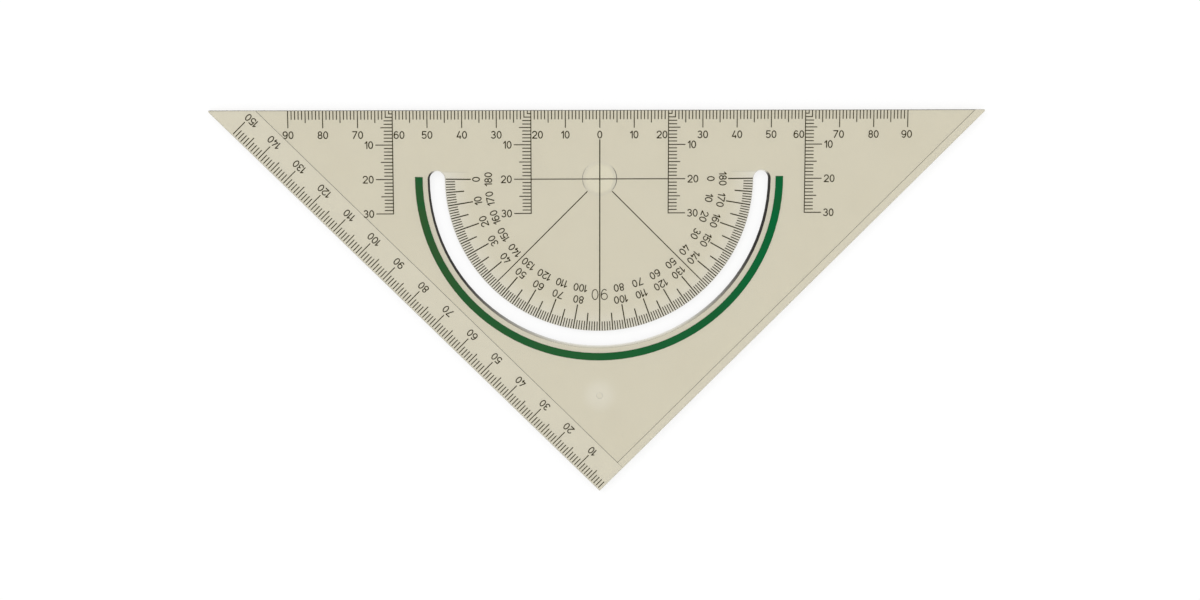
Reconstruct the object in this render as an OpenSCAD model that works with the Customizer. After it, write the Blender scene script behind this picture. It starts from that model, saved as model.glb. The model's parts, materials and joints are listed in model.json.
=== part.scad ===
// Geometry triangle: a smoke-tinted 45 degree set square with a protractor window,
// a green arc let into its face, and printed millimetre and degree scales.
// Millimetres. The plate lies flat with its underside on z = 0. The hypotenuse faces +Y,
// the right-angled corner points to -Y, and the origin is under the middle of the outline.

/* [Plate] */
// Length of each of the two equal legs
leg_l = 160; // [140:1:220]
// Thickness of the plate
plate_t = 2.2; // [1.8:0.1:3]
// Width of the lowered strip that carries the left leg's scale
left_strip_w = 9.9; // [8:0.1:11]
// Depth of that strip
left_strip_drop = 0.2; // [0.15:0.05:0.4]
// Width of the lowered strip along the right leg
right_strip_w = 2.4; // [1.5:0.1:5]
// Depth of that strip, less than the left one, whose edge runs on across it
right_strip_drop = 0.1; // [0.05:0.05:0.1]
// Width of the slope beside each strip, seen from above
strip_run = 0.15; // [0.1:0.05:0.3]
// Width of the small chamfer along the top of the hypotenuse
edge_break = 0.15; // [0.1:0.05:0.4]

/* [Protractor] */
// Distance from the hypotenuse to the centre of the protractor
centre_drop = 20; // [16:1:24]
// Width of the half-round window slot, at the underside
slot_w = 4.2; // [3:0.1:5]
// How far each wall of the slot leans back from the underside to the top face
slot_draft = 0.55; // [0:0.05:0.7]
// Width of the bevel along the edge of the protractor
disc_bevel_w = 7; // [4:0.1:8]
// Thickness left at the edge of the protractor
disc_edge_t = 1.4; // [0.6:0.1:1.8]

/* [Green arc] */
// Width of the green arc's groove
arc_w = 2.2; // [1.5:0.1:3]
// Depth of the groove
arc_depth = 0.6; // [0.3:0.1:1]
// Play between the green arc and each wall of its groove
arc_clear = 0.02; // [0:0.01:0.1]
// Plate left between the slot and the groove, at the underside
arc_slot_gap = 2; // [1.5:0.05:4]
// Plate left between the groove and the left leg's strip
arc_strip_gap = 2.3; // [1:0.1:5]
// How far the ends of the arc rise past the base line
arc_rise = 0.7; // [0:0.1:2]

/* [Underside] */
// Radius of the round recess under the centre of the protractor
dish_r = 5.1; // [3:0.1:8]
// Depth of that recess
dish_depth = 0.6; // [0.3:0.05:1]
// Depth of the sloping lip round its mouth
lip_depth = 0.12; // [0.08:0.01:0.2]
// Width of that lip
lip_run = 0.18; // [0.1:0.01:0.4]
// Width of the gentler slope from the lip to the floor
dish_run = 1; // [0.8:0.1:2]
// Radius of the shallow round hollow about the gate mark
gate_r = 5.5; // [4:0.1:7]
// Depth of that hollow at its middle
gate_depth = 0.55; // [0.3:0.05:0.8]
// Radius of the gate's cut-off stub
stub_r = 0.9; // [0.4:0.1:1.2]
// How far the stub stands out of the middle of the hollow
stub_h = 0.2; // [0.1:0.05:0.25]
// Distance from the green arc to the gate mark
gate_gap = 10.8; // [6:0.1:14]

/* [Print] */
// Width of a fine printed line
mark_w = 0.28; // [0.15:0.01:0.4]
// Width of a bold one, for each fifth degree and the centre line
bold_w = 0.34; // [0.2:0.01:0.5]
// Thickness of the printed film
film_t = 0.04; // [0.02:0.01:0.1]
// Length of a millimetre mark
short_mark = 2.5; // [1.5:0.05:3]
// Length of a five millimetre mark
middle_mark = 3.45; // [2.5:0.05:4]
// Length of a ten millimetre mark
long_mark = 4.95; // [4:0.05:6]
// Length of a one degree mark
degree_mark = 2.7; // [1.5:0.1:3]
// Length of a five degree mark
five_degree_mark = 5.2; // [3.5:0.1:6]
// Length of a ten degree mark
ten_degree_mark = 7.3; // [6.5:0.1:8]
// Bare plastic between the marks and the edge of the protractor
disc_inset = 0.1; // [0.05:0.05:0.5]
// Bare plastic between the marks and the edge of the left leg
leg_inset = 0.4; // [0.2:0.1:0.8]
// Least bare length at each end of the hypotenuse scale
hyp_end_clear = 23; // [22:1:40]
// Least bare length at the far end of the left leg's scale
leg_end_clear = 10; // [8:1:30]
// Length of a depth scale, measured from the hypotenuse
depth_l = 30; // [25:1:35]
// Distance from the middle to each inner depth scale
inner_x = 20; // [15:1:25]
// Distance from the hypotenuse to the upper end of the centre line
centre_line_start = 8.5; // [7:0.5:12]

/* [Hidden] */
$fn = 96;

// Cutters reach this far past the faces they cut
over = 1;

// Outline
hyp_half = leg_l / sqrt(2);
hyp_y = hyp_half / 2;
centre_y = hyp_y - centre_drop;

// Radii about the protractor's centre, worked inwards from the left leg
leg_reach = (hyp_half - centre_drop) / sqrt(2);
arc_r_out = leg_reach - left_strip_w - arc_strip_gap;
arc_r_in = arc_r_out - arc_w;
slot_r_out = arc_r_in - arc_slot_gap;
disc_r = slot_r_out - slot_w;
slot_end_r = slot_w / 2;
slot_mid_r = disc_r + slot_end_r;
bevel_r = disc_r - disc_bevel_w;
disc_slope = (plate_t - disc_edge_t) / disc_bevel_w;
arc_turn = asin(arc_rise / (arc_r_in + arc_w / 2));
gate_y = centre_y - arc_r_out - gate_gap;
gate_ball_r = (gate_r * gate_r + gate_depth * gate_depth) / (2 * gate_depth);

// Print
mark_r_out = disc_r - slot_draft * disc_edge_t / plate_t - disc_inset;
numbered_step = 10;
half_step = numbered_step / 2;
hyp_marks = floor((hyp_half - hyp_end_clear) / numbered_step) * numbered_step;
leg_marks = floor((leg_l - leg_end_clear) / numbered_step) * numbered_step;
outer_room = hyp_half - depth_l - left_strip_w * sqrt(2) - long_mark;
outer_x = floor(outer_room / half_step) * half_step;

smoke = [0.72, 0.69, 0.58, 0.7];
green = [0.06, 0.37, 0.19];
ink = [0.14, 0.13, 0.1];

function by_step(k, long, middle, short) =
    k % numbered_step == 0 ? long : k % half_step == 0 ? middle : short;
function mark_length(k) = by_step(k, long_mark, middle_mark, short_mark);
function degree_length(a) = by_step(a, ten_degree_mark, five_degree_mark, degree_mark);
function degree_width(a) = by_step(a, bold_w, bold_w, mark_w);

// Distance from a hypotenuse mark to the nearest depth line, and outwards past the last one
function line_distance(x) = min([for (d = [inner_x, outer_x]) abs(abs(x) - d)]);
function past_line(x) = min([for (d = [inner_x, outer_x]) abs(x) > d ? abs(x) - d : hyp_half]);

// Height of the top face at a distance from the protractor's centre
function face_z(r) = r > bevel_r ? plate_t - (r - bevel_r) * disc_slope : plate_t;

// Frames for the features: x along the edge, y inwards, or x and y about the protractor's centre
module along_left_leg() translate([-hyp_half, hyp_y, 0]) rotate(-45) children();
module along_right_leg() translate([0, -hyp_y, 0]) rotate(45) children();
module at_centre() translate([0, centre_y, 0]) children();

// Cutter for a strip along a leg, from below the top face up a small slope to it
module lowered_strip(w, drop)
    translate([-over, 0, plate_t])
    rotate([90, 0, 90])
    linear_extrude(leg_l + 2 * over)
    polygon([[-over, -drop], [w - strip_run, -drop], [w, 0], [w, over], [-over, over]]);

// A profile of radius and height, turned through the lower half circle and an angle past its ends
module lower_half(past = 0)
    rotate(180 - past)
    rotate_extrude(angle = 180 + 2 * past)
    children();

module hypotenuse_chamfer()
    translate([-hyp_half - over, hyp_y, plate_t])
    rotate([90, 0, 90])
    linear_extrude(2 * (hyp_half + over))
    polygon([[-edge_break - over, over], [over, over], [over, -edge_break - over]]);

// The protractor's bevel stops at straight end walls, level with the ends of the slot
module disc_bevel()
    intersection() {
        rotate_extrude()
            polygon([
                [bevel_r, plate_t],
                [slot_mid_r, face_z(slot_mid_r)],
                [slot_mid_r, plate_t + over],
                [bevel_r, plate_t + over]
            ]);
        translate([-slot_mid_r, slot_end_r - 2 * slot_mid_r, 0])
            cube([2 * slot_mid_r, 2 * slot_mid_r, plate_t + 2 * over]);
    }

// Half-round window with round ends, all its walls drafted for the mould
module window_slot() {
    low = -over;
    high = plate_t + over;
    low_lean = slot_draft * low / plate_t;
    high_lean = slot_draft * high / plate_t;
    lower_half()
        polygon([
            [disc_r - low_lean, low],
            [slot_r_out + low_lean, low],
            [slot_r_out + high_lean, high],
            [disc_r - high_lean, high]
        ]);
    for (side = [-1, 1])
        translate([side * slot_mid_r, 0, 0])
            rotate_extrude(angle = 180)
            polygon([
                [0, low],
                [slot_end_r + low_lean, low],
                [slot_end_r + high_lean, high],
                [0, high]
            ]);
}

// Round recess under the centre, with a lip and a gentler slope inside it
module centre_dish()
    rotate_extrude()
    polygon([
        [0, -over],
        [dish_r + over * lip_run / lip_depth, -over],
        [dish_r - lip_run, lip_depth],
        [dish_r - lip_run - dish_run, dish_depth],
        [0, dish_depth]
    ]);

module arc_groove()
    lower_half(arc_turn)
    translate([arc_r_in, plate_t - arc_depth])
    square([arc_w, arc_depth + over]);

// Shallow hollow, part of a ball, round the stub where the mould's gate was cut off
module gate_mark()
    translate([0, gate_y, 0])
    difference() {
        translate([0, 0, gate_depth - gate_ball_r]) sphere(r = gate_ball_r);
        translate([0, 0, gate_depth - stub_h]) cylinder(h = over, r = stub_r);
    }

module plate()
    color(smoke)
    difference() {
        linear_extrude(plate_t)
            polygon([[-hyp_half, hyp_y], [0, -hyp_y], [hyp_half, hyp_y]]);
        along_left_leg() lowered_strip(left_strip_w, left_strip_drop);
        along_right_leg() lowered_strip(right_strip_w, right_strip_drop);
        hypotenuse_chamfer();
        at_centre() {
            disc_bevel();
            window_slot();
            arc_groove();
            centre_dish();
        }
        gate_mark();
    }

module green_arc()
    color(green)
    at_centre()
    lower_half(arc_turn - asin(arc_clear / arc_r_in))
    translate([arc_r_in + arc_clear, plate_t - arc_depth])
    square([arc_w - 2 * arc_clear, arc_depth]);

// A printed line from the chamfer of the hypotenuse down to a distance from its edge
module drop_mark(x, end)
    translate([x - mark_w / 2, hyp_y - end])
    square([mark_w, end - edge_break]);

module raised_film()
    translate([0, 0, plate_t])
    linear_extrude(film_t)
    children();

// Beside a depth scale the marks shorten, so that the two scales meet in nested corners
module hypotenuse_scale()
    color(ink)
    raised_film()
    for (x = [-hyp_marks : hyp_marks])
        if (line_distance(x) > mark_w)
            drop_mark(x, min(edge_break + mark_length(abs(x)), past_line(x) - mark_w / 2));

// A depth line at x with its millimetre marks on the side away from the middle
module depth_scale(x)
    color(ink)
    raised_film() {
        drop_mark(x, depth_l + mark_w / 2);
        for (k = [1 : depth_l]) {
            l = min(mark_length(k), k + mark_w / 2);
            translate([x < 0 ? x - l : x, hyp_y - k - mark_w / 2])
                square([l, mark_w]);
        }
    }

module left_outer_depth_scale() depth_scale(-outer_x);
module left_inner_depth_scale() depth_scale(-inner_x);
module right_inner_depth_scale() depth_scale(inner_x);
module right_outer_depth_scale() depth_scale(outer_x);

// Millimetres counted from the right-angled corner, printed on the left leg's strip
module leg_scale()
    color(ink)
    along_left_leg()
    translate([0, 0, plate_t - left_strip_drop])
    for (k = [1 : leg_marks])
        translate([leg_l - k - mark_w / 2, leg_inset, 0])
            cube([mark_w, mark_length(k), film_t]);

// A printed line along a radius of the protractor, following the face down its bevel
module radial_mark(angle, r_from, r_to, w)
    rotate(angle)
    rotate([90, 0, 0])
    linear_extrude(w, center = true) {
        bend = r_from < bevel_r && r_to > bevel_r ? [bevel_r] : [];
        stations = concat([r_from], bend, [r_to]);
        below = [for (r = stations) [r, face_z(r)]];
        above = [for (i = [len(stations) - 1 : -1 : 0]) below[i] + [0, film_t]];
        polygon(concat(below, above));
    }

// The lines at 45, 90 and 135 degrees run on to the centre and belong to the nodes below
module protractor_scale()
    color(ink)
    at_centre()
    for (a = [0 : 180])
        if (a % 45 != 0 || a % 180 == 0)
            radial_mark(180 + a, mark_r_out - degree_length(a), mark_r_out, degree_width(a));

// Centre line across the base line, which ends against the two inner depth lines
module datum_cross()
    color(ink)
    at_centre() {
        radial_mark(-90, centre_line_start - centre_drop, mark_r_out, bold_w);
        translate([mark_w / 2 - inner_x, -mark_w / 2, plate_t])
            cube([2 * inner_x - mark_w, mark_w, film_t]);
    }

module left_diagonal()
    color(ink)
    at_centre()
    radial_mark(-135, dish_r, mark_r_out, mark_w);

module right_diagonal()
    color(ink)
    at_centre()
    radial_mark(-45, dish_r, mark_r_out, mark_w);

plate();
green_arc();
hypotenuse_scale();
leg_scale();
protractor_scale();
left_outer_depth_scale();
left_inner_depth_scale();
right_inner_depth_scale();
right_outer_depth_scale();
datum_cross();
left_diagonal();
right_diagonal();
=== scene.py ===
import json
from math import atan2, cos, pi, radians, sin

import bmesh
import bpy
from mathutils import Matrix, Vector
from mathutils.geometry import delaunay_2d_cdt

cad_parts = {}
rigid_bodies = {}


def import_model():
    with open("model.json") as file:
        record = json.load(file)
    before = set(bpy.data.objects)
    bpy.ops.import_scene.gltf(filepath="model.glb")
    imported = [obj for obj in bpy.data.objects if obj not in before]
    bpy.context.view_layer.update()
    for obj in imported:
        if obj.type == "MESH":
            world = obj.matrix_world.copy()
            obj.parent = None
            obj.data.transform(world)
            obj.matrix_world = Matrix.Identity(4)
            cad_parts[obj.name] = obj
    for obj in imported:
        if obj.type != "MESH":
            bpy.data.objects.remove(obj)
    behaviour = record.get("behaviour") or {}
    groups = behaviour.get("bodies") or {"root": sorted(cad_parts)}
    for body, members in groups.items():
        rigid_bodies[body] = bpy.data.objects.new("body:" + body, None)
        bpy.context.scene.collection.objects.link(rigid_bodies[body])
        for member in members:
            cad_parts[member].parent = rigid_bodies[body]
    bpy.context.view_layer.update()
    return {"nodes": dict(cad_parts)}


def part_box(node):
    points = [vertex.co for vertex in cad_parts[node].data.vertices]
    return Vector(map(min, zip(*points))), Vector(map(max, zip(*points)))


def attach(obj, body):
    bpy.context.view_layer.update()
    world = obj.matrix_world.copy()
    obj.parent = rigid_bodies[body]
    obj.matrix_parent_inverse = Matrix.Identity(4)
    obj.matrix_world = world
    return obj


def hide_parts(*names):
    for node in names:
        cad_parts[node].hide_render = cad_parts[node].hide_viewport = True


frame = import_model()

mm = 0.001
scene = bpy.context.scene
scene.view_settings.view_transform = "Standard"
print("frame loaded:", len(frame["nodes"]), "nodes")


def addNode(tree, kind, sockets=None, **settings):
    node = tree.nodes.new(kind)
    for name, value in settings.items():
        setattr(node, name, value)
    for name, value in (sockets or {}).items():
        node.inputs[name].default_value = value
    return node


def addSockets(tree, inputs, outputs):
    for side, sockets in (("INPUT", inputs), ("OUTPUT", outputs)):
        for name, kind in sockets:
            tree.interface.new_socket(name, in_out=side, socket_type="NodeSocket" + kind)


def newMaterial(name):
    material = bpy.data.materials.new(name)
    material.use_nodes = True
    material.node_tree.nodes.clear()
    return material, material.node_tree


def newObject(name, data):
    thing = bpy.data.objects.new(name, data)
    scene.collection.objects.link(thing)
    return thing


# camera, floor and light

viewpoint = {
    "place": (-24.93, 85.26, 580.2),  # mm, above and a little behind the hypotenuse
    "turn": (-0.14475, -0.04317, 0.0005),   # radians
    "lens": 59.69,
    "sensor": 36.0,
    "nearest": 0.01,   # m
}


def placeCamera():
    optics = bpy.data.cameras.new("photoView")
    optics.lens = viewpoint["lens"]
    optics.sensor_width = viewpoint["sensor"]
    optics.clip_start = viewpoint["nearest"]
    camera = newObject("photoView", optics)
    camera.location = Vector(viewpoint["place"]) * mm
    camera.rotation_euler = viewpoint["turn"]
    scene.camera = camera


studio = {
    "floorSide": 8.0,      # m, as are the other sizes here
    "floorDrop": 0.0001,   # a hair below the plate, so the two faces don't share a plane
    "floorColour": (0.29, 0.29, 0.29, 1),
    "floorLift": 0.725,    # with the lit floor this makes white
    "skyColour": (1, 1, 1, 1),
    "skyHigh": 1.0,        # its strength overhead
    "skyLow": 0.8,         # and at the horizon
    "lampPlace": (-0.9, 0.95, 1.3),
    "lampSide": 0.9,
    "lampPower": 5.0,
}


def seenDirectly(tree):   # 1 for what the eye, a reflection or clear plastic shows
    path = addNode(tree, "ShaderNodeLightPath")
    first = addNode(tree, "ShaderNodeMath", operation="MAXIMUM")
    both = addNode(tree, "ShaderNodeMath", operation="MAXIMUM")
    tree.links.new(path.outputs["Is Camera Ray"], first.inputs[0])
    tree.links.new(path.outputs["Is Glossy Ray"], first.inputs[1])
    tree.links.new(first.outputs[0], both.inputs[0])
    tree.links.new(path.outputs["Is Transmission Ray"], both.inputs[1])
    return both.outputs[0]


def layFloor():
    half = studio["floorSide"] / 2
    z = -studio["floorDrop"]
    sheet = bpy.data.meshes.new("studioFloor")
    corners = [(-half, -half, z), (half, -half, z), (half, half, z), (-half, half, z)]
    sheet.from_pydata(corners, [], [(0, 1, 2, 3)])
    floor = newObject("studioFloor", sheet)
    material, tree = newMaterial("paleFloor")
    matt = addNode(tree, "ShaderNodeBsdfDiffuse", {"Color": studio["floorColour"]})
    glow = addNode(tree, "ShaderNodeEmission")
    lift = addNode(tree, "ShaderNodeMath", operation="MULTIPLY")
    lift.inputs[1].default_value = studio["floorLift"]
    both = addNode(tree, "ShaderNodeAddShader")
    out = addNode(tree, "ShaderNodeOutputMaterial")
    tree.links.new(seenDirectly(tree), lift.inputs[0])
    tree.links.new(lift.outputs[0], glow.inputs["Strength"])
    tree.links.new(matt.outputs[0], both.inputs[0])
    tree.links.new(glow.outputs[0], both.inputs[1])
    tree.links.new(both.outputs[0], out.inputs["Surface"])
    sheet.materials.append(material)


def lightStudio():
    world = bpy.data.worlds.new("softTent")
    world.use_nodes = True
    scene.world = world
    tree = world.node_tree
    tree.nodes.clear()
    where = addNode(tree, "ShaderNodeTexCoord")
    split = addNode(tree, "ShaderNodeSeparateXYZ")
    height = addNode(tree, "ShaderNodeMapRange", {"To Min": studio["skyLow"], "To Max": studio["skyHigh"]})
    light = addNode(tree, "ShaderNodeBackground", {"Color": studio["skyColour"]})
    white = addNode(tree, "ShaderNodeBackground", {"Color": studio["skyColour"], "Strength": 1.0})
    pick = addNode(tree, "ShaderNodeMixShader")
    out = addNode(tree, "ShaderNodeOutputWorld")
    tree.links.new(where.outputs["Generated"], split.inputs[0])
    tree.links.new(split.outputs["Z"], height.inputs["Value"])
    tree.links.new(height.outputs["Result"], light.inputs["Strength"])
    tree.links.new(seenDirectly(tree), pick.inputs["Fac"])
    tree.links.new(light.outputs[0], pick.inputs[1])
    tree.links.new(white.outputs[0], pick.inputs[2])
    tree.links.new(pick.outputs[0], out.inputs["Surface"])

    lamp = bpy.data.lights.new("softbox", "AREA")
    lamp.shape = "SQUARE"
    lamp.size = studio["lampSide"]
    lamp.energy = studio["lampPower"]
    box = newObject("softbox", lamp)
    box.location = studio["lampPlace"]
    box.rotation_euler = Vector(studio["lampPlace"]).to_track_quat("Z", "Y").to_euler()


placeCamera()
layFloor()
lightStudio()
print("camera, floor and light placed")


# finishes

fineMarks = {
    "smudgeDetail": 4.0,
    "smudgeRough": 0.6,
    "smudgeRange": (0.42, 0.72),          # where a cloud begins to smudge, and where it does so fully
    "hairLays": ((0.5, 26), (2.2, 34)),   # how each set of scratches is turned and drawn out
    "hairDetail": 1.0,
    "hairMiddle": 0.5,                    # a scratch runs where the grain crosses this
    "hairWidth": 0.012,
    "hairDepth": 0.01,                    # mm
}


def fineWearGroup():   # finger smudges and hair scratches, shared by all the finishes
    tree = bpy.data.node_groups.new("fineWear", "ShaderNodeTree")
    addSockets(
        tree,
        [("Smudge Scale", "Float"), ("Scratch Scale", "Float")],
        [("Smudge", "Float"), ("Scratch", "Float")],
    )
    given = addNode(tree, "NodeGroupInput")
    result = addNode(tree, "NodeGroupOutput")
    where = addNode(tree, "ShaderNodeTexCoord")
    clouds = {"Detail": fineMarks["smudgeDetail"], "Roughness": fineMarks["smudgeRough"]}
    cloud = addNode(tree, "ShaderNodeTexNoise", clouds)
    start, full = fineMarks["smudgeRange"]
    smudge = addNode(tree, "ShaderNodeMapRange", {"From Min": start, "From Max": full})
    tree.links.new(where.outputs["Object"], cloud.inputs["Vector"])
    tree.links.new(given.outputs["Smudge Scale"], cloud.inputs["Scale"])
    tree.links.new(cloud.outputs[0], smudge.inputs["Value"])
    tree.links.new(smudge.outputs["Result"], result.inputs["Smudge"])
    hairs = []
    for turn, stretch in fineMarks["hairLays"]:
        lay = addNode(tree, "ShaderNodeMapping", {"Rotation": (0, 0, turn), "Scale": (1, stretch, 1)})
        grain = addNode(tree, "ShaderNodeTexNoise", {"Detail": fineMarks["hairDetail"]})
        middle = addNode(tree, "ShaderNodeMath", operation="SUBTRACT")
        middle.inputs[1].default_value = fineMarks["hairMiddle"]
        size = addNode(tree, "ShaderNodeMath", operation="ABSOLUTE")
        fade = {"From Max": fineMarks["hairWidth"], "To Min": 1.0, "To Max": 0.0}
        hair = addNode(tree, "ShaderNodeMapRange", fade)
        tree.links.new(where.outputs["Object"], lay.inputs["Vector"])
        tree.links.new(lay.outputs[0], grain.inputs["Vector"])
        tree.links.new(given.outputs["Scratch Scale"], grain.inputs["Scale"])
        tree.links.new(grain.outputs[0], middle.inputs[0])
        tree.links.new(middle.outputs[0], size.inputs[0])
        tree.links.new(size.outputs[0], hair.inputs["Value"])
        hairs.append(hair.outputs["Result"])
    either = addNode(tree, "ShaderNodeMath", operation="MAXIMUM")
    tree.links.new(hairs[0], either.inputs[0])
    tree.links.new(hairs[1], either.inputs[1])
    tree.links.new(either.outputs[0], result.inputs["Scratch"])
    return tree


fineWear = fineWearGroup()
mixSockets = {"factor": 0, "first": 6, "second": 7, "result": 2}   # those of a Mix node that are for colours


def mixColours(tree, factor, first, second):   # each colour is a value or the socket that gives it
    blend = addNode(tree, "ShaderNodeMix", data_type="RGBA")
    tree.links.new(factor, blend.inputs[mixSockets["factor"]])
    for name, colour in (("first", first), ("second", second)):
        socket = blend.inputs[mixSockets[name]]
        if isinstance(colour, tuple):
            socket.default_value = (*colour, 1)
        else:
            tree.links.new(colour, socket)
    return blend.outputs[mixSockets["result"]]


def acrossPiece(tree, reach):   # 0 at the left end of a piece, 1 at its right end
    where = addNode(tree, "ShaderNodeTexCoord")
    split = addNode(tree, "ShaderNodeSeparateXYZ")
    share = addNode(tree, "ShaderNodeMapRange", {"From Min": -reach * mm, "From Max": reach * mm})
    tree.links.new(where.outputs["Object"], split.inputs[0])
    tree.links.new(split.outputs["X"], share.inputs["Value"])
    return share.outputs["Result"]


def wornFinish(name, look):   # a Principled finish whose colour, roughness and bump follow the wear, and whose colour can also carry painted shade and a painted tint from the mesh
    material, tree = newMaterial(name)
    wear = addNode(tree, "ShaderNodeGroup", node_tree=fineWear)
    wear.inputs["Smudge Scale"].default_value = look["smudgeScale"]
    wear.inputs["Scratch Scale"].default_value = look["scratchScale"]
    rough = addNode(tree, "ShaderNodeMapRange", {"To Min": look["smooth"], "To Max": look["dull"]})
    marked = addNode(tree, "ShaderNodeMath", operation="MULTIPLY_ADD", use_clamp=True)
    marked.inputs[1].default_value = look["scratchDull"]
    depth = {"Strength": look["bump"], "Distance": fineMarks["hairDepth"] * mm}
    relief = addNode(tree, "ShaderNodeBump", depth, invert=True)
    body = addNode(tree, "ShaderNodeBsdfPrincipled", look["shader"])
    out = addNode(tree, "ShaderNodeOutputMaterial")
    colour, dullness = look["colour"], marked.outputs[0]
    if "rightColour" in look:
        colour = mixColours(tree, acrossPiece(tree, look["reach"]), colour, look["rightColour"])
    colour = mixColours(tree, wear.outputs["Smudge"], colour, look["smudged"])
    if "paintedShadeColour" in look:   # painted shade on the edges and walls that the mesh marks, and a painted warm tint on the dish that stands for the light seen through it
        warm = addNode(tree, "ShaderNodeAttribute", attribute_name="paintedDishTint")
        edge = addNode(tree, "ShaderNodeAttribute", attribute_name="paintedEdgeShade")
        frost = addNode(tree, "ShaderNodeMath", operation="MAXIMUM")
        colour = mixColours(tree, warm.outputs["Fac"], colour, look["paintedDishColour"])
        colour = mixColours(tree, edge.outputs["Fac"], colour, look["paintedShadeColour"])
        tree.links.new(edge.outputs["Fac"], frost.inputs[0])
        tree.links.new(dullness, frost.inputs[1])
        dullness = frost.outputs[0]
    tree.links.new(wear.outputs["Smudge"], rough.inputs["Value"])
    tree.links.new(wear.outputs["Scratch"], marked.inputs[0])
    tree.links.new(rough.outputs["Result"], marked.inputs[2])
    tree.links.new(wear.outputs["Scratch"], relief.inputs["Height"])
    tree.links.new(colour, body.inputs["Base Color"])
    tree.links.new(dullness, body.inputs["Roughness"])
    tree.links.new(relief.outputs[0], body.inputs["Normal"])
    tree.links.new(body.outputs[0], out.inputs["Surface"])
    if "absorbs" in look:
        tint = {"Color": (*look["absorbs"], 1), "Density": look["density"]}
        inside = addNode(tree, "ShaderNodeVolumeAbsorption", tint)
        tree.links.new(inside.outputs[0], out.inputs["Volume"])
    return material


smokePlastic = wornFinish("smokePlastic", {
    "colour": (1.0, 1.0, 1.0),
    "smudged": (0.985, 0.982, 0.975),
    "smooth": 0.02,
    "dull": 0.07,
    "scratchDull": 0.05,
    "bump": 0.12,
    "smudgeScale": 55.0,
    "scratchScale": 40.0,
    # painted warm tint of the light seen through the dish
    "paintedDishColour": (0.985, 0.965, 0.85),
    # near black: the painted shade on edges and walls mixes towards this
    "paintedShadeColour": (0.002, 0.0018, 0.0015),
    "absorbs": (0.557, 0.466, 0.123),
    "density": 290.0,
    "shader": {"IOR": 1.46, "Transmission Weight": 1.0},
})
greenInlay = wornFinish("greenInlay", {
    "colour": (0.030, 0.086, 0.026),
    "rightColour": (0.0005, 0.122, 0.034),
    "reach": 54.0,      # mm to each end of the arc
    "smudged": (0.008, 0.098, 0.028),
    "smooth": 0.28,
    "dull": 0.42,
    "scratchDull": 0.1,
    "bump": 0.25,
    "smudgeScale": 90.0,
    "scratchScale": 60.0,
    "shader": {"IOR": 1.5, "Specular IOR Level": 0.04},
})
printInk = wornFinish("printInk", {
    "colour": (0.022, 0.016, 0.001),
    "smudged": (0.030, 0.022, 0.003),
    "smooth": 0.5,
    "dull": 0.7,
    "scratchDull": 0.1,
    "bump": 0.3,
    "smudgeScale": 1600.0,
    "scratchScale": 200.0,
    "shader": {"IOR": 1.45, "Specular IOR Level": 0.05},
})
print("finishes made")


# plate: the CAD solid with its sharp edges eased and its acute tips rounded, with painted shade and a painted
# dish tint on its corners

plateEase = {
    "width": 0.07,          # mm asked for: the clamp leaves about 0.04
    "sharp": radians(50),   # edges that turn more than this are eased
    "smooth": radians(15),  # and those that turn less than this are shaded as one face
    "flat": radians(0.3),   # faces that turn less than this are joined first
    "segments": 2,
    "profile": 0.5,         # round
    "tipBreak": 0.15,       # mm, the ruling edge's own break, carried on across the lowered strip
    "tipRadius": 0.3,
    "tipHalf": radians(22.5),    # half of an acute tip's angle
    "tipTurn": radians(33.75),   # from one facet of its nose to the next
    "levelRise": 0.9999,    # a level face's normal rises more than this
    "levelArea": 100,       # mm2, from which a face is large
    "onEdge": 1e-6,         # m, closer than this to the ruling edge's wall is on it
    "merge": 1e-7,          # m
    "cutTouch": 1e-9,       # m
}
paintedPlateShade = {              # painted shade: where the clear plastic is drawn dark, and how dark
    "centreDrop": 20.0,     # mm from the hypotenuse to the protractor's centre
    "wallReach": (47.2, 50.2),   # radii between which a steep face is the slot's outer wall
    "dishReach": (4.93, 5.6),    # and those between which a slope underneath is the dish's lip
    "dishRise": (0.12, 0.6),     # heights between which the dish's painted tint grows
    "gateDrop": 10.8,       # mm from the green arc to the gate mark
    "stubReach": (0.6, 1.1),     # radii about that mark
    "leastTurn": 1e-6,      # keeps a level corner from dividing by nothing
    "wallRise": 0.5,        # a wall's normal rises less than this
    "slopeRise": 0.93,      # and a slope's less than this
    "wallTurn": ((0.17, 0.83), (0.44, 0.92)),   # painted shade: the wall at left and at right darkens as it turns sideways
    "dishTurn": (0.66, 0.95),
    # how dark the painted shade is on slopes, on the dish's lip and round the gate's stub
    "slopeDark": 0.8,
    "dishDark": (0.45, 1.0),     # left side and right side
    "stubDark": 0.4,
}


def shareOf(value, reach):   # how far a value has come from the start of a reach to its end
    return min(max((value - reach[0]) / (reach[1] - reach[0]), 0), 1)


def within(value, reach):
    return reach[0] < value < reach[1]


def darkOf(face, facing, centre, gate):   # painted shade: how dark a face is drawn at one of its corners
    away = (face.center.xy - centre) / mm
    rise = face.normal.z
    sideways = abs(facing.x) / max(facing.xy.length, paintedPlateShade["leastTurn"])
    if abs(rise) > paintedPlateShade["slopeRise"]:
        return 0
    if abs(rise) < paintedPlateShade["wallRise"] and within(away.length, paintedPlateShade["wallReach"]):
        return shareOf(sideways, paintedPlateShade["wallTurn"][away.x > 0])
    if rise < 0 and within(away.length, paintedPlateShade["dishReach"]):
        return shareOf(sideways, paintedPlateShade["dishTurn"]) * paintedPlateShade["dishDark"][away.x > 0]
    if within((face.center.xy - gate).length / mm, paintedPlateShade["stubReach"]):
        return paintedPlateShade["stubDark"]
    return paintedPlateShade["slopeDark"] if rise > paintedPlateShade["wallRise"] else 0


# painted tint: the dish's roof is drawn warmer the higher it lies in the hollow
def warmthOf(face, spot, centre):
    if face.normal.z > 0 or (face.center.xy - centre).length / mm > paintedPlateShade["dishReach"][0]:
        return 0
    return shareOf(spot.z / mm, paintedPlateShade["dishRise"])


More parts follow.
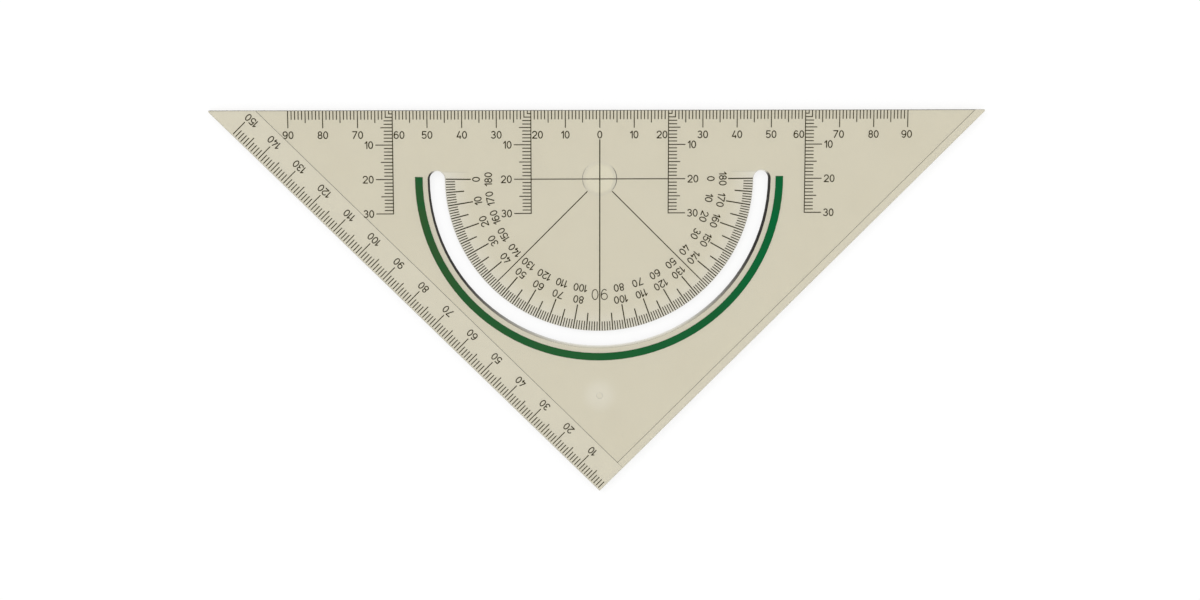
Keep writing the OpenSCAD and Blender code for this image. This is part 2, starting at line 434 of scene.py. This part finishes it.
def shadePlate(mesh):   # paints shade and the dish's warm tint onto each corner of the mesh, for the finish to mix in
    centre = Vector((0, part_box("plate")[1].y - paintedPlateShade["centreDrop"] * mm))
    gate = Vector((0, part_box("green_arc")[0].y - paintedPlateShade["gateDrop"] * mm))
    paintedShades, dishTints = [], []
    for face in mesh.polygons:
        for i, v in zip(face.loop_indices, face.vertices):
            dark = darkOf(face, mesh.corner_normals[i].vector, centre, gate)
            paintedShades.append(1 - (1 - dark) ** 2)   # light falls with the root of a colour
            dishTints.append(warmthOf(face, mesh.vertices[v].co, centre))
    mesh.attributes.new("paintedEdgeShade", "FLOAT", "CORNER").data.foreach_set("value", paintedShades)
    mesh.attributes.new("paintedDishTint", "FLOAT", "CORNER").data.foreach_set("value", dishTints)


def sharpEdges(bm):
    return [e for e in bm.edges if e.is_manifold and e.calc_face_angle() > plateEase["sharp"]]


def easeEdges(bm, edges, width, segments):
    bmesh.ops.bevel(
        bm, geom=edges, offset=width * mm, offset_type="OFFSET",
        segments=segments, profile=plateEase["profile"], affect="EDGES", clamp_overlap=True,
    )
    bm.normal_update()


def isLevel(face):
    return abs(face.normal.z) > plateEase["levelRise"]


def shadedAsOne(edge):   # a level face keeps its own normals, so that it stays flat to the eye
    if not edge.is_manifold:
        return False
    one, other = edge.link_faces
    return isLevel(one) == isLevel(other) and edge.calc_face_angle() < plateEase["smooth"]


def levelFaces(bm):   # where two bevels meet, a corner can leave the plane of a large level face
    for face in bm.faces:
        if face.normal.z > plateEase["levelRise"] and face.calc_area() > plateEase["levelArea"] * mm ** 2:
            heights = sorted(v.co.z for v in face.verts)
            for vert in face.verts:
                vert.co.z = heights[len(heights) // 2]


def roundTips(bm, high):   # cuts each acute tip to a small round nose, facet by facet
    radius, half, turn = plateEase["tipRadius"] * mm, plateEase["tipHalf"], plateEase["tipTurn"]
    for side in (-1, 1):
        tip = Vector((side * high.x, high.y, 0))
        middle = tip - Vector((side * cos(half), sin(half), 0)) * radius / sin(half)
        for angle in (half - turn, half, half + turn):
            out = Vector((side * cos(angle), sin(angle), 0))
            cut = bmesh.ops.bisect_plane(
                bm, geom=bm.verts[:] + bm.edges[:] + bm.faces[:], dist=plateEase["cutTouch"],
                plane_co=middle + out * radius, plane_no=out, clear_outer=True,
            )
            rim = [part for part in cut["geom_cut"] if isinstance(part, bmesh.types.BMEdge)]
            bmesh.ops.holes_fill(bm, edges=rim, sides=0)
    bmesh.ops.recalc_face_normals(bm, faces=bm.faces)


def onRulingEdge(edge, high):   # along the top of the hypotenuse's wall
    wall = high.y - plateEase["onEdge"]
    return all(v.co.y > wall and v.co.z > high.z / 2 for v in edge.verts)


def easedPlate():
    bm = bmesh.new()
    bm.from_mesh(frame["nodes"]["plate"].data)
    bmesh.ops.remove_doubles(bm, verts=bm.verts, dist=plateEase["merge"])
    bmesh.ops.dissolve_limit(bm, angle_limit=plateEase["flat"], verts=bm.verts, edges=bm.edges)
    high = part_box("plate")[1]
    unbroken = [e for e in sharpEdges(bm) if onRulingEdge(e, high)]
    easeEdges(bm, unbroken, plateEase["tipBreak"], 1)
    easeEdges(bm, sharpEdges(bm), plateEase["width"], plateEase["segments"])
    levelFaces(bm)
    roundTips(bm, high)
    bmesh.ops.triangulate(bm, faces=bm.faces)
    for face in bm.faces:
        face.smooth = True
    for edge in bm.edges:
        edge.smooth = shadedAsOne(edge)
    print("plate eased:", len(bm.faces), "faces, open edges", sum(not e.is_manifold for e in bm.edges),
          "volume mm3", round(bm.calc_volume() / mm ** 3, 1))
    bm.normal_update()
    mesh = bpy.data.meshes.new("clear_plate")
    bm.to_mesh(mesh)
    bm.free()
    shadePlate(mesh)
    mesh.materials.append(smokePlastic)
    return newObject("clear_plate", mesh)


plate = easedPlate()
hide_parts("plate")
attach(plate, "root")

for name, node in frame["nodes"].items():
    if name != "plate":
        node.material_slots[0].material = greenInlay if name == "green_arc" else printInk
print("plate, arc and printed marks dressed")


# numerals: single-stroke figures set along the scales

smallFigures = {
    "name": "smallDigit",
    "height": 1.98,     # mm between the middles of the top and bottom strokes
    "pen": 0.31,
    "gap": 0.5,         # between the middles of neighbouring digits' strokes
}
largeFigures = {
    "name": "largeDigit",
    "height": 3.0,
    "pen": 0.25,
    "gap": 0.95,        # the centre line runs between its two digits
}
figures = {
    "film": 0.04,       # mm
    "sink": 0.01,       # how far the ink reaches into the face
    "arcSteps": 8,
    "capSteps": 4,
    "merge": 1e-5,      # mm
    "insideLoops": 1,   # which faces the triangulation keeps
    "flat": radians(1),
}


def bow(cx, cy, rx, ry, start, end):
    steps = figures["arcSteps"]
    turns = [radians(start + (end - start) * i / steps) for i in range(steps + 1)]
    return [(cx + rx * cos(t), cy + ry * sin(t)) for t in turns]


def ring(cx, cy, rx, ry):
    return [bow(cx, cy, rx, ry, 0, 180), bow(cx, cy, rx, ry, 180, 360)]


six = ring(0, -0.19, 0.3, 0.31) + [[(-0.3, -0.19)] + bow(0.02, -0.05, 0.32, 0.55, 180, 58)]
digitStrokes = [   # in heights, about the middle of the digit
    ring(0, 0, 0.29, 0.5),
    [[(0, -0.5), (0, 0.5)], [(0, 0.5), (-0.26, 0.24)]],
    [bow(0, 0.19, 0.3, 0.31, 165, -28) + [(-0.31, -0.5)], [(-0.31, -0.5), (0.31, -0.5)]],
    [bow(0, 0.255, 0.255, 0.245, 150, -90), bow(0, -0.235, 0.3, 0.265, 90, -150)],
    [[(0.07, 0.5), (-0.29, -0.3)], [(-0.29, -0.3), (0.26, -0.3)], [(0.16, -0.14), (0.16, -0.5)]],
    [[(0.27, 0.5), (-0.2, 0.5)], [(-0.2, 0.5), (-0.25, -0.01)], bow(0, -0.19, 0.31, 0.31, 145, -145)],
    six,
    [[(-0.3, 0.5), (0.3, 0.5)], [(0.3, 0.5), (-0.2, -0.5)]],
    ring(0, 0.25, 0.23, 0.25) + ring(0, -0.235, 0.275, 0.265),
    [[(-x, -y) for x, y in stroke] for stroke in six],
]
digitReach = [
    (min(x for s in strokes for x, y in s), max(x for s in strokes for x, y in s)) for strokes in digitStrokes
]


def penOutline(stroke, half):   # both sides of a stroke, with round ends
    spots = [Vector(p) for p in stroke]
    last = len(spots) - 1
    ahead = [(spots[min(i + 1, last)] - spots[max(i - 1, 0)]).normalized() for i in range(last + 1)]
    side = [Vector((-a.y, a.x)) * half for a in ahead]

    def cap(i, first):   # half a turn round an end of the stroke
        turns = [first - pi * k / figures["capSteps"] for k in range(1, figures["capSteps"])]
        return [spots[i] + Vector((cos(t), sin(t))) * half for t in turns]

    left = [p + s for p, s in zip(spots, side)]
    right = [p - s for p, s in zip(spots, side)]
    endTurn = atan2(side[last].y, side[last].x)
    startTurn = atan2(-side[0].y, -side[0].x)
    return (left + cap(last, endTurn) + right[::-1] + cap(0, startTurn))[::-1]   # anticlockwise


def inkedDigit(digit, height, pen):   # a closed slab one unit thick, which the node tree thins to the film
    points, loops = [], []
    for stroke in digitStrokes[digit]:
        outline = penOutline([(x * height, y * height) for x, y in stroke], pen / 2)
        loops.append(list(range(len(points), len(points) + len(outline))))
        points += outline
    filled = delaunay_2d_cdt(points, [], loops, figures["insideLoops"], figures["merge"])
    spots, _, faces, _, _, owners = filled
    inked = [list(f) for f, owner in zip(faces, owners) if owner]
    bm = bmesh.new()
    low = [bm.verts.new((p.x * mm, p.y * mm, 0)) for p in spots]
    high = [bm.verts.new((p.x * mm, p.y * mm, 1)) for p in spots]
    sides = {}
    for face in inked:
        a, b, c = (spots[i] for i in face[:3])
        if (b - a).cross(c - a) < 0:
            face.reverse()
        bm.faces.new([high[i] for i in face])
        bm.faces.new([low[i] for i in reversed(face)])
        for i, j in zip(face, face[1:] + face[:1]):
            sides[(i, j)] = True
    for i, j in sides:
        if (j, i) not in sides:
            bm.faces.new([low[i], low[j], high[j], high[i]])
    bmesh.ops.delete(bm, geom=[v for v in bm.verts if not v.link_faces], context="VERTS")
    bmesh.ops.dissolve_limit(bm, angle_limit=figures["flat"], verts=bm.verts, edges=bm.edges)
    mesh = bpy.data.meshes.new(f"digit{digit}")
    bm.to_mesh(mesh)
    bm.free()
    return mesh


def digitSet(style):
    drawer = bpy.data.collections.new(style["name"])
    scene.collection.children.link(drawer)
    for digit in range(len(digitStrokes)):
        mesh = inkedDigit(digit, style["height"], style["pen"])
        drawer.objects.link(bpy.data.objects.new(style["name"] + str(digit), mesh))
    return drawer


def numeralTree():   # puts a digit on each spot, turned as the spot says
    tree = bpy.data.node_groups.new("setNumerals", "GeometryNodeTree")
    addSockets(
        tree,
        [("Spots", "Geometry"), ("Digits", "Collection"), ("Film", "Float"), ("Ink", "Material")],
        [("Print", "Geometry")],
    )
    given = addNode(tree, "NodeGroupInput")
    result = addNode(tree, "NodeGroupOutput")
    drawer = addNode(tree, "GeometryNodeCollectionInfo", {"Separate Children": True, "Reset Children": True})
    which = addNode(tree, "GeometryNodeInputNamedAttribute", {"Name": "digit"}, data_type="INT")
    facing = addNode(tree, "GeometryNodeInputNamedAttribute", {"Name": "facing"}, data_type="FLOAT_VECTOR")
    flatten = addNode(tree, "ShaderNodeCombineXYZ", {"X": 1.0, "Y": 1.0})
    place = addNode(tree, "GeometryNodeInstanceOnPoints", {"Pick Instance": True})
    realize = addNode(tree, "GeometryNodeRealizeInstances")
    paint = addNode(tree, "GeometryNodeSetMaterial")
    tree.links.new(given.outputs["Spots"], place.inputs["Points"])
    tree.links.new(given.outputs["Digits"], drawer.inputs["Collection"])
    tree.links.new(drawer.outputs[0], place.inputs["Instance"])
    tree.links.new(which.outputs["Attribute"], place.inputs["Instance Index"])
    tree.links.new(facing.outputs["Attribute"], place.inputs["Rotation"])
    tree.links.new(given.outputs["Film"], flatten.inputs["Z"])
    tree.links.new(flatten.outputs[0], place.inputs["Scale"])
    tree.links.new(place.outputs[0], realize.inputs[0])
    tree.links.new(realize.outputs[0], paint.inputs["Geometry"])
    tree.links.new(given.outputs["Ink"], paint.inputs["Material"])
    tree.links.new(paint.outputs[0], result.inputs["Print"])
    return tree


def labelWidth(text, style):
    reach = [digitReach[int(c)] for c in text]
    return sum(b - a for a, b in reach) * style["height"] + style["gap"] * (len(text) - 1)


def spotsOf(text, at, style):   # one spot for each digit of a label, about the label's middle
    x = -labelWidth(text, style) / 2
    spots = []
    for c in text:
        low, high = (reach * style["height"] for reach in digitReach[int(c)])
        spots.append((int(c), at @ Matrix.Translation(((x - low) * mm, 0, -figures["sink"] * mm))))
        x += high - low + style["gap"]
    return spots


setNumerals = numeralTree()


def printNumerals(name, labels, style, drawer):
    spots = [spot for text, at in labels for spot in spotsOf(text, at, style)]
    mesh = bpy.data.meshes.new(name + "_spots")
    mesh.from_pydata([at.translation for digit, at in spots], [], [])
    digits = mesh.attributes.new("digit", "INT", "POINT")
    digits.data.foreach_set("value", [digit for digit, at in spots])
    facing = mesh.attributes.new("facing", "FLOAT_VECTOR", "POINT")
    facing.data.foreach_set("vector", [angle for digit, at in spots for angle in at.to_euler()])
    maker = newObject(name + "_spots", mesh)
    tree = maker.modifiers.new("setNumerals", "NODES")
    tree.node_group = setNumerals
    socket = {s.name: s.identifier for s in setNumerals.interface.items_tree if s.in_out == "INPUT"}
    tree[socket["Digits"]] = drawer
    tree[socket["Film"]] = (figures["film"] + figures["sink"]) * mm
    tree[socket["Ink"]] = printInk
    bpy.context.view_layer.update()
    made = bpy.data.meshes.new_from_object(maker.evaluated_get(bpy.context.evaluated_depsgraph_get()))
    bpy.data.objects.remove(maker)
    made.name = name
    for extra in [a.name for a in made.attributes if a.name in ("digit", "facing")]:
        made.attributes.remove(made.attributes[extra])
    piece = newObject(name, made)
    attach(piece, "root")
    print(name, "has", len(spots), "digits and", len(made.polygons), "faces")


layout = {
    "hypDrop": 7.1,         # mm from the hypotenuse to the middle of its numerals
    "hypLast": 90,
    "hypShift": {70: -0.25, 90: -0.25},   # these two stand a little left of their marks on the right half
    "depthLines": (20, 60),
    "depthBeside": 1.9,     # a numeral at a depth line stands beside it, on the inner side
    "depthReach": 5.6,      # from a depth line to the near edge of its numerals
    "depthLast": 30,
    "legIn": 7.0,           # from the left leg's edge to the middle of its numerals
    "legLast": 150,
    "legLastShift": 1.1,    # the last one moves clear of the hypotenuse
    "centreDrop": paintedPlateShade["centreDrop"],
    "outerRow": 35.98,      # radii of the protractor's rows
    "innerRow": 32.45,
    "topRow": 34.0,
    "topAngle": 90,
    "lastAngle": 180,
    "step": 10,
}

plateLow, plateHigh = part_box("plate")
hypLine, topFace = plateHigh.y / mm, plateHigh.z / mm
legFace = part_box("leg_scale")[0].z / mm   # the lowered strip that carries the leg's scale


def standing(right, up, middle):   # a matrix with the label's right, up and middle
    out = right.cross(up)
    turn = Matrix((right, up, out)).transposed().to_4x4()
    return Matrix.Translation(Vector(middle) * mm) @ turn


def upright(x, y):
    return standing(Vector((1, 0, 0)), Vector((0, 1, 0)), (x, y, topFace))


def hypotenuseLabels():
    labels = [("0", upright(0, hypLine - layout["hypDrop"]))]
    for value in range(layout["step"], layout["hypLast"] + 1, layout["step"]):
        x = value - (layout["depthBeside"] if value in layout["depthLines"] else 0)
        shift = layout["hypShift"].get(value, 0)
        labels += [(str(value), upright(at, hypLine - layout["hypDrop"])) for at in (-x, x + shift)]
    return labels


def depthLabels():
    labels = []
    for line in layout["depthLines"]:
        for value in range(layout["step"], layout["depthLast"] + 1, layout["step"]):
            text = str(value)
            wide = labelWidth(text, smallFigures) + smallFigures["pen"]
            x = line + layout["depthReach"] + wide / 2
            labels += [(text, upright(side * x, hypLine - value)) for side in (-1, 1)]
    return labels


def legLabels():
    along = Vector((1, -1, 0)).normalized()
    inwards = Vector((1, 1, 0)).normalized()
    corner = Vector((0, plateLow.y / mm, legFace))
    labels = []
    for value in range(layout["step"], layout["legLast"] + 1, layout["step"]):
        back = value - (layout["legLastShift"] if value == layout["legLast"] else 0)
        middle = corner - along * back + inwards * layout["legIn"]
        labels.append((str(value), standing(-along, -inwards, middle)))
    return labels


def protractorLabel(text, angle, radius):
    out = Vector((-cos(radians(angle)), -sin(radians(angle)), 0))
    middle = Vector((0, hypLine - layout["centreDrop"], topFace)) + out * radius
    return text, standing(Vector((out.y, -out.x, 0)), out, middle)


def protractorLabels():
    labels = []
    for angle in range(0, layout["lastAngle"] + 1, layout["step"]):
        if angle != layout["topAngle"]:
            labels.append(protractorLabel(str(angle), angle, layout["outerRow"]))
            labels.append(protractorLabel(str(layout["lastAngle"] - angle), angle, layout["innerRow"]))
    return labels


def topLabels():
    angle = layout["topAngle"]
    return [protractorLabel(str(angle), angle, layout["topRow"])]


smallDigits, largeDigits = digitSet(smallFigures), digitSet(largeFigures)
printNumerals("hypotenuse_numerals", hypotenuseLabels(), smallFigures, smallDigits)
printNumerals("depth_numerals", depthLabels(), smallFigures, smallDigits)
printNumerals("leg_numerals", legLabels(), smallFigures, smallDigits)
printNumerals("protractor_numerals", protractorLabels(), smallFigures, smallDigits)
printNumerals("right_angle_numeral", topLabels(), largeFigures, largeDigits)
for drawer in (smallDigits, largeDigits):
    for digit in list(drawer.objects):
        bpy.data.objects.remove(digit)
    bpy.data.collections.remove(drawer)
print("numerals printed")
